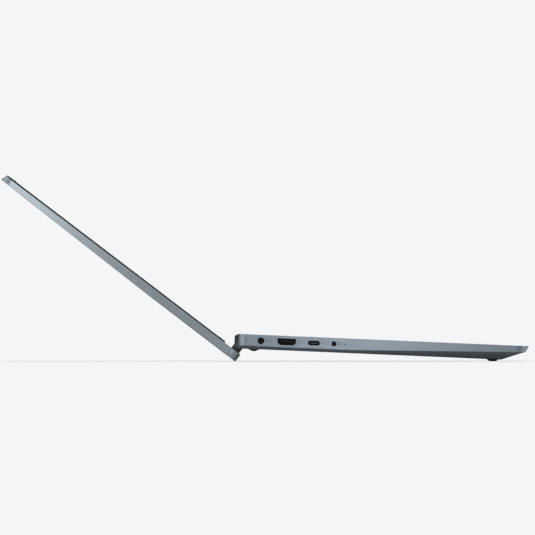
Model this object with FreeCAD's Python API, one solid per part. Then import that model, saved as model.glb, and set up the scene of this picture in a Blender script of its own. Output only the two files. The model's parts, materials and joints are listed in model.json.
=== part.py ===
import FreeCAD, Part
import math
import os

# Laptop computer with a drop-down lid, 15.6 inch class. Millimetres.
# Bench frame used for every piece below: origin on the hinge axis at mid-width,
# X to the user's right, Y to the rear, Z up, base level, lid shut.
# The finished pieces are then placed as the laptop stands in use: lid swung back to
# its stop, resting on the lid's rear edge and on the front feet.

os.makedirs("parts", exist_ok=True)
V = FreeCAD.Vector

# Whole laptop
half_width = 178.5
corner_radius = 10.0
lid_open_angle = 145.1
wall = 1.5

# Base, heights from the hinge axis
deck_top = 6.7
under_face = -4.9
base_rear = 5.4
base_front = -227.1
front_wall_foot = (-224.9, 2.1)
bevel_start = -205.6
facet_slope = 1.3
parting_line = [(12.0, -2.6), (-85.6, -2.6), (-212.6, 1.3), (-240.0, 2.14)]
notch_half = 158.6
notch_wall = -4.4
deck_under = deck_top - wall
floor_top = under_face + wall

# Keyboard
key_pitch = 18.0
pad_pitch = 15.6
pad_gap = 2.0
key_gap = 2.4
key_hole_clearance = 0.45
function_row_depth = 11.5
keyboard_left = -167.2
keyboard_rear = -21.4
keyboard_front = keyboard_rear - function_row_depth - 5 * key_pitch
well_margin = 0.6
key_corner = 1.2
split_key_gap = 0.8
key_top = deck_top - 0.15
key_height = 1.7
web_top = deck_under
web_thickness = 0.7
plate_low = 2.6
plate_thickness = 0.4
membrane_thickness = 0.3

# Touchpad and power button
pad_centre_x = -32.0
pad_size_x = 105.0
pad_rear = -135.6
pad_front = -205.6
pad_thickness = 1.4
pad_top = deck_top - 0.2
moving_gap = 0.4
button_centre = (150.0, -13.0)
button_size = (18.0, 5.6)
button_top = deck_top - 0.1

# Feet: rubber strips, wider where they meet the cover
front_foot = {"centre_y": -200.8, "root": 6.4, "tip": 2.4, "height": 1.45}
front_foot_x = 112.0
front_foot_half = 23.0
rear_foot = {"centre_y": -10.1, "root": 9.4, "tip": 1.8, "height": 1.6}
rear_foot_half = 128.0

# Ports, along the sides
port_height = 1.9
port_back = 168.6
board_top = -1.0
board_thickness = 1.2
board_edge = 176.1
socket_wall = 0.7
opening_clearance = 0.3

# Lid, heights as it lies shut
bezel_face = 7.0
rim_face = 8.08
lid_top = 15.03
lid_tip_top = 12.85
wedge_start = -82.6
lid_front = -229.0
lid_rear = 5.4
lid_radius = 8.0
lid_skin = 1.2
chin_front = -10.5
window_half_x = 172.1
window_front = -218.5
window_rear = -24.9
panel_thickness = 2.8
shutter_y = -222.4
lens_radius = 1.5

# Hinges
hump_radius = 3.8
hump_half = 158.0
hump_wall = 1.0
barrel_radius = 3.0
barrel_start = 118.0
barrel_end = 128.0
shaft_radius = 1.6
shaft_clearance = 0.04
bracket_thickness = 1.5
flange_start = barrel_end + 1.6
flange_end = flange_start + 1.6
arm_low = rim_face + panel_thickness + 0.4
arm_high = arm_low + 1.1
arm_screw_y = [-88.0, -62.0, -36.0]
arm_screw_x = flange_start + 6
arm_screw_radius = 0.94

base_outline = [
    (2.3, deck_top),
    (base_rear, deck_top - 1.4),
    (base_rear, under_face + 1.5),
    (base_rear - 1.5, under_face),
    (bevel_start, under_face),
    front_wall_foot,
    (base_front, deck_top),
]
lid_outline = [
    (5.0, rim_face),
    (lid_rear, rim_face + 0.8),
    (lid_rear, lid_top - 0.45),
    (lid_rear - 0.5, lid_top),
    (wedge_start, lid_top),
    (lid_front + 0.4, lid_tip_top),
    (lid_front, lid_tip_top - 0.4),
    (-227.5, rim_face),
]

left_ports = {
    "power": {"kind": "round", "y": -15.4, "width": 4.9, "height": 4.9},
    "video": {"kind": "cut", "y": -35.8, "width": 14.2, "height": 4.8},
    "type_c": {"kind": "slot", "y": -57.3, "width": 8.9, "height": 3.2},
    "audio": {"kind": "round", "y": -73.2, "width": 3.6, "height": 3.6},
}
right_ports = {
    "type_a_rear": {"kind": "box", "y": -31.0, "width": 13.1, "height": 5.7},
    "type_a_front": {"kind": "box", "y": -51.0, "width": 13.1, "height": 5.7},
    "card": {"kind": "box", "y": -80.0, "width": 24.6, "height": 2.4},
}
light_places = {"charge_light": -22.9, "status_light": -81.8}
light_radius = 0.62
corner_cut = (2.2, 1.9)

cover_screw_places = [
    (-100.0, -11.2), (100.0, -11.2), (-171.4, -104.0), (171.4, -104.0),
    (-80.0, -129.3), (0.0, -129.3), (80.0, -129.3), (-150.0, -191.0), (150.0, -191.0),
]
cover_screw_radius = 0.96
post_radius = 2.4
bracket_screw_x = [109.0, 134.0, 163.0]
bracket_screw_y = -13.5
bracket_screw_radius = 0.76

# Inner pieces: plan places as (left, right, front, rear)
fan_centre = (52.0, -47.0)
fan_low = floor_top + 0.2
fan_high = 2.0
fan_blades = 23
fan_pin_radius = 1.2
pipe_half_width = 4.0
pipe_height = 1.4
cell_count = 4
cell_pitch = 61.3
battery_place = (-124.0, 124.0, -196.0, -134.0)
storage_place = (-155.0, -84.0, -119.0, -97.0)
memory_place = (-66.0, -2.0, -119.0, -89.0)
wireless_place = (-126.0, -98.0, -70.0, -48.0)
speaker_x = 150.0
speaker_slot_y = (-178.0, -166.0)


# Shape helpers

def box(x0, x1, y0, y1, z0, z1):
    return Part.makeBox(x1 - x0, y1 - y0, z1 - z0, V(x0, y0, z0))


def slab(x0, x1, y0, y1, z0, z1, radius):
    # A plate with rounded corners in plan.
    solid = box(x0, x1, y0, y1, z0, z1)
    upright = [e for e in solid.Edges if abs(e.tangentAt(e.FirstParameter).z) > 0.9]
    return solid.makeFillet(radius, upright)


def rod(radius, start, direction, length):
    return Part.makeCylinder(radius, length, V(*start), V(*direction))


def side_prism(points, x0, x1, inset=0.0):
    # A closed outline of (y, z) points, drawn in by inset, and extruded along X.
    corners = [V(x0, y, z) for y, z in points]
    wire = Part.makePolygon(corners + corners[:1])
    if inset > 0:
        wire = wire.makeOffset2D(-inset, 2)
    return Part.Face(wire).extrude(V(x1 - x0, 0, 0))


def fuse(solids):
    joined = solids[0].multiFuse(solids[1:])
    return joined.removeSplitter()


def mirrored(shape):
    return shape.mirror(V(0, 0, 0), V(1, 0, 0))


# Base casing

def side_facets(inset):
    # The sides of the bottom cover slope in under the parting line, in one plane per run.
    slope_length = math.hypot(facet_slope, 1.0)
    sections = []
    for y, height in parting_line:
        drop = height - under_face
        top_x = half_width - inset * slope_length
        reach = 3.0
        high = V(top_x + facet_slope * reach, y, height + reach)
        low = V(top_x - facet_slope * (drop + reach), y, under_face - reach)
        corner = V(top_x + facet_slope * reach, y, under_face - reach)
        sections.append(Part.makePolygon([high, low, corner, high]))
    runs = []
    for first, second in zip(sections[:-1], sections[1:]):
        runs.append(Part.makeLoft([first, second], True, True))
    return runs + [mirrored(run) for run in runs]


def base_body(inset):
    body = side_prism(base_outline, -half_width - 5, half_width + 5, inset)
    plan = slab(-half_width + inset, half_width - inset, base_front + inset, base_rear - inset,
                -20, 20, corner_radius - inset)
    notch = box(-notch_half - inset, notch_half + inset, notch_wall - inset, 30, -20, 20)
    return body.common(plan).cut(side_facets(inset) + [notch])


def casing_halves():
    shell = base_body(0).cut(base_body(wall))
    above = side_prism(parting_line + [(-240.0, 20.0), (12.0, 20.0)], -200, 200)
    return shell.common(above), shell.cut(above)


def port_void(port, side, x_in, x_out, grow=0.0):
    # The opening of a port between two distances from mid-width.
    x0, x1 = sorted((side * x_in, side * x_out))
    half_w = port["width"] / 2 + grow
    half_h = port["height"] / 2 + grow
    y, z = port["y"], port_height
    if port["kind"] == "round":
        return rod(half_w, (x0, y, z), (1, 0, 0), x1 - x0)
    if port["kind"] == "slot":
        middle = box(x0, x1, y - half_w + half_h, y + half_w - half_h, z - half_h, z + half_h)
        ends = [rod(half_h, (x0, y + s * (half_w - half_h), z), (1, 0, 0), x1 - x0) for s in (-1, 1)]
        return fuse([middle] + ends)
    if port["kind"] == "cut":
        points = [(y - half_w, z + half_h), (y + half_w, z + half_h),
                  (y + half_w, z - half_h + corner_cut[1]), (y + half_w - corner_cut[0], z - half_h),
                  (y - half_w + corner_cut[0], z - half_h), (y - half_w, z - half_h + corner_cut[1])]
        return side_prism(points, x0, x1)
    return box(x0, x1, y - half_w, y + half_w, z - half_h, z + half_h)


def all_ports():
    return [(-1, port) for port in left_ports.values()] + [(1, port) for port in right_ports.values()]


def button_slab(grow, z0, z1):
    half_x = button_size[0] / 2 + grow
    half_y = button_size[1] / 2 + grow
    x, y = button_centre
    return slab(x - half_x, x + half_x, y - half_y, y + half_y, z0, z1, half_y - 0.1)


def make_top_case(shell):
    voids = [
        slab(keyboard_left - well_margin, -keyboard_left + well_margin, keyboard_front - well_margin,
             keyboard_rear + well_margin, deck_under - 1, deck_top + 1, 2.0),
        slab(pad_centre_x - pad_size_x / 2 - moving_gap, pad_centre_x + pad_size_x / 2 + moving_gap,
             pad_front - moving_gap, pad_rear + moving_gap, deck_under - 1, deck_top + 1, 2.4),
        button_slab(moving_gap, deck_under - 1, deck_top + 1),
    ]
    for side, port in all_ports():
        voids.append(port_void(port, side, half_width - wall - 1, half_width + 1, opening_clearance))
    for y in light_places.values():
        voids.append(rod(light_radius + 0.03, (-half_width - 1, y, port_height), (1, 0, 0), wall + 2))
    for x in range(21, 85, 4):
        voids.append(box(x, x + 2.6, notch_wall - wall - 1, notch_wall + 1, -1.8, 3.6))
    for side in (-1, 1):
        tongue = sorted((side * (barrel_start - 0.5), side * (barrel_end + 0.5)))
        voids.append(box(tongue[0], tongue[1], notch_wall - wall - 1, notch_wall + 1, -1.2, 1.2))
    case = shell.cut(voids)
    posts = [rod(post_radius, (x, y, floor_top), (0, 0, 1), deck_under - floor_top)
             for x, y in cover_screw_places]
    holes = [rod(cover_screw_radius + 0.04, (x, y, floor_top - 1), (0, 0, 1), 6.0)
             for x, y in cover_screw_places]
    for side in (-1, 1):
        for x in bracket_screw_x:
            low = bracket_thickness / 2
            posts.append(rod(post_radius, (side * x, bracket_screw_y, low), (0, 0, 1), deck_under - low))
            holes.append(rod(bracket_screw_radius + 0.04, (side * x, bracket_screw_y, low - 1),
                             (0, 0, 1), 4.0))
    return fuse([case] + posts).cut(holes)


def make_bottom_cover(shell):
    voids = []
    for x, y in cover_screw_places:
        voids.append(rod(1.15, (x, y, under_face - 1), (0, 0, 1), 4.0))
        voids.append(rod(2.3, (x, y, under_face - 1), (0, 0, 1), 1.9))
    for row in range(6):
        for column in range(9):
            x = 18.0 + column * 8.0
            y = -66.0 + row * 8.0
            voids.append(slab(x, x + 6.0, y, y + 3.0, under_face - 1, floor_top + 1, 1.45))
    for side in (-1, 1):
        for step in range(8):
            x = side * speaker_x - 18.0 + step * 4.6
            voids.append(slab(x, x + 2.4, *speaker_slot_y, under_face - 1, floor_top + 1, 1.15))
    return shell.cut(voids)


def make_cover_screws():
    screws = []
    for x, y in cover_screw_places:
        head = rod(2.15, (x, y, under_face + 0.1), (0, 0, 1), 0.8)
        shank = rod(cover_screw_radius, (x, y, under_face + 0.5), (0, 0, 1), 5.5)
        cross = [box(x - 1.2, x + 1.2, y - 0.25, y + 0.25, under_face, under_face + 0.5),
                 box(x - 0.25, x + 0.25, y - 1.2, y + 1.2, under_face, under_face + 0.5)]
        screws.append(head.fuse(shank).cut(cross))
    return screws


# Feet

def foot_strip(x0, x1, centre_y, root, tip, height):
    points = [(centre_y - root / 2, under_face), (centre_y + root / 2, under_face),
              (centre_y + tip / 2, under_face - height), (centre_y - tip / 2, under_face - height)]
    return side_prism(points, x0, x1)


# Keyboard

def key_rows():
    # Each row holds its keys as (left, right, front, rear) in plan.
    main_widths = {
        "function_keys": [1] * 15,
        "number_keys": [1] * 13 + [2],
        "upper_keys": [1.5] + [1] * 12 + [1.5],
        "home_keys": [1.75] + [1] * 11 + [2.25],
        "lower_keys": [2.25] + [1] * 10 + [2.75],
        "bottom_keys": [1.25, 1, 1, 1.25, 5.5, 1, 1, 1, 1, 1],
    }
    pad_start = keyboard_left + 15 * key_pitch + pad_gap
    rows = {}
    rear = keyboard_rear
    for name, widths in main_widths.items():
        depth = function_row_depth if name == "function_keys" else key_pitch
        keys = []
        x = keyboard_left
        for units in widths:
            keys.append((x, x + units * key_pitch, rear - depth, rear))
            x += units * key_pitch
        x = pad_start
        for units in [2, 1, 1] if name == "bottom_keys" else [1] * 4:
            keys.append((x, x + units * pad_pitch, rear - depth, rear))
            x += units * pad_pitch
        rows[name] = keys
        rear -= depth
    bottom = rows["bottom_keys"]
    rows["space_bar"] = [bottom.pop(4)]
    left, right, front, back = bottom.pop(7)
    middle = (front + back) / 2
    half_gap = (key_gap - split_key_gap) / 2
    bottom.append((left, right, front, middle + half_gap))
    bottom.append((left, right, middle - half_gap, back))
    return rows


def key_shape(key, z0, z1, grow, radius):
    gap = key_gap / 2 - grow
    left, right, front, rear = key
    return slab(left + gap, right - gap, front + gap, rear - gap, z0, z1, radius)


def keyboard_slab(z0, z1, margin, radius):
    return slab(keyboard_left - margin, -keyboard_left + margin, keyboard_front - margin,
                keyboard_rear + margin, z0, z1, radius)


def make_keyboard_frame(rows):
    web = keyboard_slab(web_top - web_thickness, web_top, 1.0, 2.0)
    holes = []
    for keys in rows.values():
        for key in keys:
            holes.append(key_shape(key, web_top - 3, web_top + 1, key_hole_clearance, key_corner + 0.2))
    return web.cut(holes)


def make_key_row(keys):
    low = key_top - key_height
    return [key_shape(key, low, key_top, 0.0, key_corner) for key in keys]


# Inner pieces of the base

def make_touchpad():
    return slab(pad_centre_x - pad_size_x / 2, pad_centre_x + pad_size_x / 2, pad_front, pad_rear,
                pad_top - pad_thickness, pad_top, 2.0)


def make_touchpad_bracket():
    x0 = pad_centre_x - pad_size_x / 2 - 4
    x1 = pad_centre_x + pad_size_x / 2 + 4
    tray = slab(x0, x1, pad_front - 3, pad_rear + 3.2, 3.6, 4.0, 2.0)
    window = slab(x0 + 22, x1 - 22, pad_front + 14, pad_rear - 14, 3, 5, 4.0)
    tabs = [box(x, x + 7, pad_rear + 1, pad_rear + 3.2, 4.0, deck_under) for x in (x0 + 6, x1 - 13)]
    return fuse([tray.cut(window)] + tabs)


def make_mainboard():
    low = board_top - board_thickness
    points = [(-board_edge, -10.4), (-168.4, -10.4), (-168.4, -20.5), (-97, -20.5), (-97, -8), (14, -8),
              (14, -82), (60, -82), (60, -122), (-165, -122), (-165, -96), (-board_edge, -96)]
    corners = [V(x, y, low) for x, y in points]
    face = Part.Face(Part.makePolygon(corners + corners[:1]))
    return face.extrude(V(0, 0, board_thickness))


def make_processor():
    package = slab(-78, -42, -78, -48, board_top, board_top + 0.9, 1.0)
    plate = slab(-74, -46, -74, -52, board_top + 0.9, board_top + 1.6, 2.0)
    return fuse([package, plate])


def make_heat_pipe():
    low = board_top + 1.6
    knees = [(-60.0, -63.0), (-24.0, -12.6), (80.5, -12.6)]
    pieces = [rod(pipe_half_width, (x, y, low), (0, 0, 1), pipe_height) for x, y in knees]
    for (xa, ya), (xb, yb) in zip(knees[:-1], knees[1:]):
        length = math.hypot(xb - xa, yb - ya)
        across = V(-(yb - ya), xb - xa, 0) * (pipe_half_width / length)
        start = V(xa, ya, low)
        end = V(xb, yb, low)
        corners = [start + across, end + across, end - across, start - across, start + across]
        pieces.append(Part.Face(Part.makePolygon(corners)).extrude(V(0, 0, pipe_height)))
    return fuse(pieces)


def make_heatsink():
    low = floor_top + 0.2
    top = board_top + 1.6
    back = box(19.5, 84.5, -17.0, -7.0, top - 0.4, top)
    fins = [box(x, x + 0.5, -17.0, -7.0, low, top - 0.3) for x in range(20, 84, 2)]
    return fuse([back] + fins)


def make_fan_housing():
    x, y = fan_centre
    body = slab(x - 33, x + 33, y - 29, y + 29, fan_low, fan_high, 6.0)
    drum = rod(27.0, (x, y, fan_low + 0.6), (0, 0, 1), fan_high - fan_low - 1.2)
    outlet = box(x - 26, x + 31, y + 8, y + 31, fan_low + 0.6, fan_high - 0.6)
    inlet_above = rod(17.0, (x, y, fan_high - 1), (0, 0, 1), 3.0)
    rings = rod(20.0, (x, y, fan_low - 1), (0, 0, 1), 3.0)
    rings = rings.cut(rod(9.0, (x, y, fan_low - 2), (0, 0, 1), 6.0))
    arms = [box(x - 21, x + 21, y - 1.5, y + 1.5, fan_low - 2, fan_low + 3),
            box(x - 1.5, x + 1.5, y - 21, y + 21, fan_low - 2, fan_low + 3)]
    pin = rod(fan_pin_radius, (x, y, fan_low + 0.5), (0, 0, 1), 2.6)
    return body.cut([drum, outlet, inlet_above, rings.cut(arms)]).fuse(pin)


def make_fan_rotor():
    x, y = fan_centre
    low = fan_low + 1.0
    high = fan_high - 0.9
    hub = rod(8.0, (x, y, low), (0, 0, 1), high - low)
    blade = box(7.5, 25.2, -0.35, 0.35, low, high)
    blades = []
    for step in range(fan_blades):
        fin = blade.copy()
        fin.rotate(V(0, 0, 0), V(0, 0, 1), step * 360.0 / fan_blades)
        fin.translate(V(x, y, 0))
        blades.append(fin)
    bore = rod(fan_pin_radius + 0.04, (x, y, low - 1), (0, 0, 1), 3.4)
    return fuse([hub] + blades).cut(bore)


def make_battery():
    low = floor_top + 0.2
    left, right, front, rear = battery_place
    tray = slab(left, right, front, rear, low, low + 1.0, 3.0)
    cells = []
    for step in range(cell_count):
        x = left + 2.0 + step * cell_pitch
        cells.append(slab(x, x + cell_pitch - 1.3, front + 2.0, rear - 2.0, low + 1.0, 2.6, 3.0))
    return fuse([tray] + cells)


def make_module(place_in_plan, chips):
    # A small circuit card standing off the mainboard, with its connector and its chips.
    x0, x1, y0, y1 = place_in_plan
    card = box(x0, x1, y0, y1, board_top + 0.8, board_top + 1.5)
    edge = box(x0 - 3, x0 + 1, y0, y1, board_top, board_top + 2.2)
    pieces = [card, edge]
    pitch = (x1 - x0 - 4) / chips
    for step in range(chips):
        left = x0 + 3 + step * pitch
        pieces.append(box(left, left + pitch * 0.75, y0 + 2, y1 - 2, board_top + 1.5, board_top + 2.3))
    return fuse(pieces)


def make_speaker(side):
    x = side * speaker_x
    inner, outer = sorted((x - side * 20.5, x + side * 21.0))
    enclosure = slab(inner, outer, -182, -150, floor_top + 0.2, 2.2, 3.0)
    sound_well = slab(x - 18, x + 18, *speaker_slot_y, floor_top - 1, floor_top + 1.0, 5.9)
    return enclosure.cut(sound_well)


def socket_body(port, side, tongue_half, tongue_z, pin=False):
    x0, x1 = sorted((side * port_back, side * (half_width - wall)))
    half_w = port["width"] / 2 + socket_wall
    top = min(port_height + port["height"] / 2 + 0.5, deck_under - 0.1)
    case = box(x0, x1, port["y"] - half_w, port["y"] + half_w, board_top, top)
    body = case.cut(port_void(port, side, port_back + 1.0, half_width))
    y = port["y"]
    inner = sorted((side * (port_back + 0.5), side * (half_width - wall - 1.2)))
    if pin:
        return fuse([body, rod(0.45, (inner[0], y, port_height), (1, 0, 0), inner[1] - inner[0])])
    if tongue_half > 0:
        tongue = box(inner[0], inner[1], y - tongue_half, y + tongue_half, tongue_z - 0.35, tongue_z + 0.35)
        return fuse([body, tongue])
    return body


def make_io_board():
    low = board_top - board_thickness
    return slab(140.0, board_edge, -96.0, -22.0, low, board_top, 1.0)


def make_io_ribbon():
    # Flat cable from the mainboard to the board of the right-hand ports.
    low = board_top + 0.1
    return box(56.0, 144.0, -93.0, -84.0, low, low + 0.25)


# Hinges

def make_bracket(side):
    half = bracket_thickness / 2
    bore = rod(shaft_radius + shaft_clearance, (barrel_start - 1, 0, 0), (1, 0, 0), 20)
    plate = slab(104.5, 167.5, -19.0, -7.5, -half, half, 1.5)
    tongue = box(barrel_start, barrel_end, -9.0, 0, -half, half)
    barrel = rod(barrel_radius, (barrel_start, 0, 0), (1, 0, 0), barrel_end - barrel_start)
    body = fuse([plate, tongue, barrel]).cut(bore)
    holes = [rod(1.0, (x, bracket_screw_y, -5), (0, 0, 1), 10) for x in bracket_screw_x]
    body = body.cut(holes)
    return body if side > 0 else mirrored(body)


def make_bracket_screws():
    screws = []
    for side in (-1, 1):
        for x in bracket_screw_x:
            head = rod(1.9, (side * x, bracket_screw_y, -bracket_thickness / 2 - 0.8), (0, 0, 1), 0.8)
            shank = rod(bracket_screw_radius, (side * x, bracket_screw_y, -bracket_thickness / 2 - 0.1),
                        (0, 0, 1), 3.6)
            screws.append(head.fuse(shank))
    return screws


def make_arm(side):
    shaft = rod(shaft_radius, (112.0, 0, 0), (1, 0, 0), flange_end - 112.0)
    collar = rod(2.5, (flange_start, 0, 0), (1, 0, 0), flange_end - flange_start)
    flange = box(flange_start, flange_end, -2.5, 2.5, 0, arm_high)
    strip = slab(flange_start, flange_start + 11, -94, 2.5, arm_low, arm_high, 0.7)
    holes = [rod(1.0, (arm_screw_x, y, arm_low - 1), (0, 0, 1), 4) for y in arm_screw_y]
    body = fuse([shaft, collar, flange, strip]).cut(holes)
    return body if side > 0 else mirrored(body)


def make_arm_screws():
    screws = []
    for side in (-1, 1):
        for y in arm_screw_y:
            x = side * arm_screw_x
            head = rod(1.9, (x, y, arm_low - 0.35), (0, 0, 1), 0.35)
            shank = rod(arm_screw_radius, (x, y, arm_low - 0.1), (0, 0, 1), 1.4)
            screws.append(head.fuse(shank))
    return screws


def make_hinge_nuts():
    # On each shaft: three thin friction washers and a nut, clamped against the barrel.
    rings = []
    for side in (-1, 1):
        bore = rod(shaft_radius + 0.02, (0, 0, 0), (side, 0, 0), 140)
        for step in range(3):
            rings.append(rod(2.4, (side * (117.2 - step * 0.75), 0, 0), (-side, 0, 0), 0.6).cut(bore))
        hexagon = [(2.5 * math.cos(math.radians(60 * k)), 2.5 * math.sin(math.radians(60 * k)))
                   for k in range(6)]
        x0, x1 = sorted((side * 112.4, side * 114.9))
        rings.append(side_prism(hexagon, x0, x1).cut(bore))
    return rings


def make_hinge_cover():
    # A bar round the hinge axis, hollow, closed below and open towards the lid.
    def bar(radius, half, top):
        round_part = rod(radius, (-half, 0, 0), (1, 0, 0), 2 * half)
        return fuse([round_part, box(-half, half, -radius, radius, 0, top)])
    hollow = bar(hump_radius - hump_wall, hump_half - 1.2, rim_face + 5)
    body = bar(hump_radius, hump_half, rim_face).cut(hollow)
    slots = []
    for side in (-1, 1):
        x0, x1 = sorted((side * (barrel_start - 0.6), side * (barrel_end + 0.6)))
        slots.append(box(x0, x1, -10, 10, -10, 5.4))
    return body.cut(slots)


# Lid

def make_lid_cover():
    outer = side_prism(lid_outline, -half_width - 5, half_width + 5)
    plan = slab(-half_width, half_width, lid_front, lid_rear, 0, 30, lid_radius)
    inner = side_prism(lid_outline, -half_width - 5, half_width + 5, lid_skin)
    inner_plan = slab(-half_width + 1.9, half_width - 1.9, lid_front + 1.5, lid_rear - 1.5, 0, 30,
                      lid_radius - 1.9)
    shell = outer.common(plan).cut(inner.common(inner_plan))
    voids = [slab(-175.2, 175.2, -225.9, chin_front - 1.2, rim_face - 2, rim_face + 3, 5.0)]
    for side in (-1, 1):
        x0, x1 = sorted((side * (flange_start - 0.4), side * (flange_end + 0.4)))
        voids.append(box(x0, x1, -2.8, 2.8, rim_face - 1, rim_face + 3))
    voids.append(box(-70, -50, -2.2, 2.2, rim_face - 1, rim_face + 3))
    voids.append(box(-200, 200, lid_rear - 8.7, lid_rear - 8.3, lid_top - 0.35, lid_top + 1))
    for side in (-1, 1):
        for y in arm_screw_y:
            voids.append(rod(arm_screw_radius + 0.04, (side * arm_screw_x, y, arm_high), (0, 0, 1), 0.5))
    return shell.cut(voids)


def make_bezel():
    face = slab(-half_width + 0.7, half_width - 0.7, -227.2, chin_front, bezel_face, rim_face, 7.2)
    rib = slab(-174.9, 174.9, -225.6, chin_front - 1.5, rim_face, rim_face + 0.9, 4.8)
    rib_void = slab(-174.1, 174.1, -224.8, chin_front - 2.3, rim_face - 1, rim_face + 2, 4.0)
    ring = rib.cut(rib_void)
    window = box(-window_half_x, window_half_x, window_front, window_rear, 0, 20)
    frame = fuse([face.cut(window), ring])
    lens_hole = rod(lens_radius + 0.1, (0, shutter_y, 0), (0, 0, 1), 20)
    pocket = box(-3.8, 9.4, shutter_y - 1.9, shutter_y + 1.9, bezel_face + 0.5, rim_face + 1)
    knob_slot = box(1.8, 8.8, shutter_y - 0.7, shutter_y + 0.7, 0, rim_face)
    return frame.cut([lens_hole, pocket, knob_slot])


def make_shutter():
    blade = box(2.0, 9.0, shutter_y - 1.7, shutter_y + 1.7, bezel_face + 0.56, rim_face - 0.06)
    knob = box(7.4, 8.6, shutter_y - 0.5, shutter_y + 0.5, bezel_face - 0.1, bezel_face + 0.6)
    return fuse([blade, knob])


def make_panel():
    return slab(-173.6, 173.6, -219.9, -17.5, rim_face, rim_face + panel_thickness, 1.5)


def make_webcam():
    board = slab(-32, 32, shutter_y - 2.2, shutter_y + 2.2, rim_face + 0.9, rim_face + 2.2, 1.0)
    barrel = rod(lens_radius, (0, shutter_y, rim_face + 0.02), (0, 0, 1), 1.2)
    return fuse([board, barrel])


def make_display_cable():
    # A flat bundle from the panel's lower edge into the hinge bar.
    tail = slab(-68, -52, -40, 1.2, arm_low - 0.2, arm_low + 0.4, 0.5)
    drop = box(-68, -52, -1.0, 1.2, 1.0, arm_low + 0.2)
    core = rod(1.9, (-75, 0.1, 0), (1, 0, 0), 30)
    return fuse([tail, drop, core])


def make_bumpers():
    places = [(-150, -223), (150, -223), (-150, -15.5), (0, -15.5), (150, -15.5)]
    return [slab(x - 6, x + 6, y - 1, y + 1, bezel_face - 0.2, bezel_face, 0.95) for x, y in places]


def make_magnets():
    return [box(x, x + 12, -224, -221, rim_face + 0.1, rim_face + 2.0) for x in (-110, 98)]


# Standing place: the lid at its stop, then the whole laptop leaned until the lid's rear
# edge and the front feet share one plane, with that plane at height zero.

def turned(point, degrees):
    y, z = point
    angle = math.radians(degrees)
    return (y * math.cos(angle) - z * math.sin(angle), y * math.sin(angle) + z * math.cos(angle))


foot_tip = (front_foot["centre_y"] - front_foot["tip"] / 2, under_face - front_foot["height"])
open_lid = [turned(point, -lid_open_angle) for point in lid_outline]
lean = max(math.degrees(math.atan2(foot_tip[1] - z, y - foot_tip[0])) for y, z in open_lid)
standing_foot = turned(foot_tip, lean)
standing_points = [turned(point, lean) for point in open_lid + base_outline]
lift = -standing_foot[1]
depth_shift = -(min(y for y, z in standing_points) + max(y for y, z in standing_points)) / 2


def place(shape, on_lid):
    standing = shape.copy()
    if on_lid:
        standing.rotate(V(0, 0, 0), V(1, 0, 0), -lid_open_angle)
    standing.rotate(V(0, 0, 0), V(1, 0, 0), lean)
    standing.translate(V(0, depth_shift, lift))
    return standing


def save(name, shape, on_lid=False):
    if isinstance(shape, list):
        shape = Part.makeCompound(shape)
    placed = place(shape, on_lid)
    placed.exportStep("parts/" + name + ".step")
    bounds = placed.BoundBox
    print("%-20s solids %3d valid %s volume %9.1f  y %7.2f..%7.2f z %6.2f..%6.2f" % (
        name, len(placed.Solids), placed.isValid(), placed.Volume,
        bounds.YMin, bounds.YMax, bounds.ZMin, bounds.ZMax))


upper_shell, lower_shell = casing_halves()
save("top_case", make_top_case(upper_shell))
save("bottom_cover", make_bottom_cover(lower_shell))
save("cover_screws", make_cover_screws())
save("front_feet", [foot_strip(side * front_foot_x - front_foot_half, side * front_foot_x + front_foot_half,
                               **front_foot) for side in (-1, 1)])
save("rear_foot", foot_strip(-rear_foot_half, rear_foot_half, **rear_foot))

rows = key_rows()
save("keyboard_frame", make_keyboard_frame(rows))
save("keyboard_plate", keyboard_slab(plate_low, plate_low + plate_thickness, 0.2, 1.5))
membrane_low = plate_low + plate_thickness
save("keyboard_membrane", keyboard_slab(membrane_low, membrane_low + membrane_thickness, 0.0, 1.5))
for row_name, row_keys in rows.items():
    save(row_name, make_key_row(row_keys))
save("power_button", button_slab(0.0, button_top - 2.2, button_top))
save("touchpad", make_touchpad())
save("touchpad_bracket", make_touchpad_bracket())

save("mainboard", make_mainboard())
save("processor", make_processor())
save("heat_pipe", make_heat_pipe())
save("heatsink", make_heatsink())
save("fan_housing", make_fan_housing())
save("fan_rotor", make_fan_rotor())
save("battery_pack", make_battery())
save("storage_module", make_module(storage_place, 4))
save("memory_module", make_module(memory_place, 4))
save("wireless_card", make_module(wireless_place, 1))
save("left_speaker", make_speaker(-1))
save("right_speaker", make_speaker(1))

save("power_jack", socket_body(left_ports["power"], -1, 0, 0, pin=True))
save("video_socket", socket_body(left_ports["video"], -1, 5.8, port_height + 0.5))
save("type_c_socket", socket_body(left_ports["type_c"], -1, 3.3, port_height))
save("audio_jack", socket_body(left_ports["audio"], -1, 0, 0))
for name, y in light_places.items():
    save(name, rod(light_radius, (-half_width + 0.05, y, port_height), (1, 0, 0), 4.0))
save("rear_type_a_socket", socket_body(right_ports["type_a_rear"], 1, 5.6, port_height + 1.2))
save("front_type_a_socket", socket_body(right_ports["type_a_front"], 1, 5.6, port_height + 1.2))
save("card_reader", socket_body(right_ports["card"], 1, 0, 0))
save("io_board", make_io_board())
save("io_ribbon", make_io_ribbon())

save("left_hinge_bracket", make_bracket(-1))
save("right_hinge_bracket", make_bracket(1))
save("bracket_screws", make_bracket_screws())
save("left_hinge_arm", make_arm(-1), on_lid=True)
save("right_hinge_arm", make_arm(1), on_lid=True)
save("arm_screws", make_arm_screws(), on_lid=True)
save("hinge_nuts", make_hinge_nuts(), on_lid=True)
save("hinge_cover", make_hinge_cover(), on_lid=True)

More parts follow.
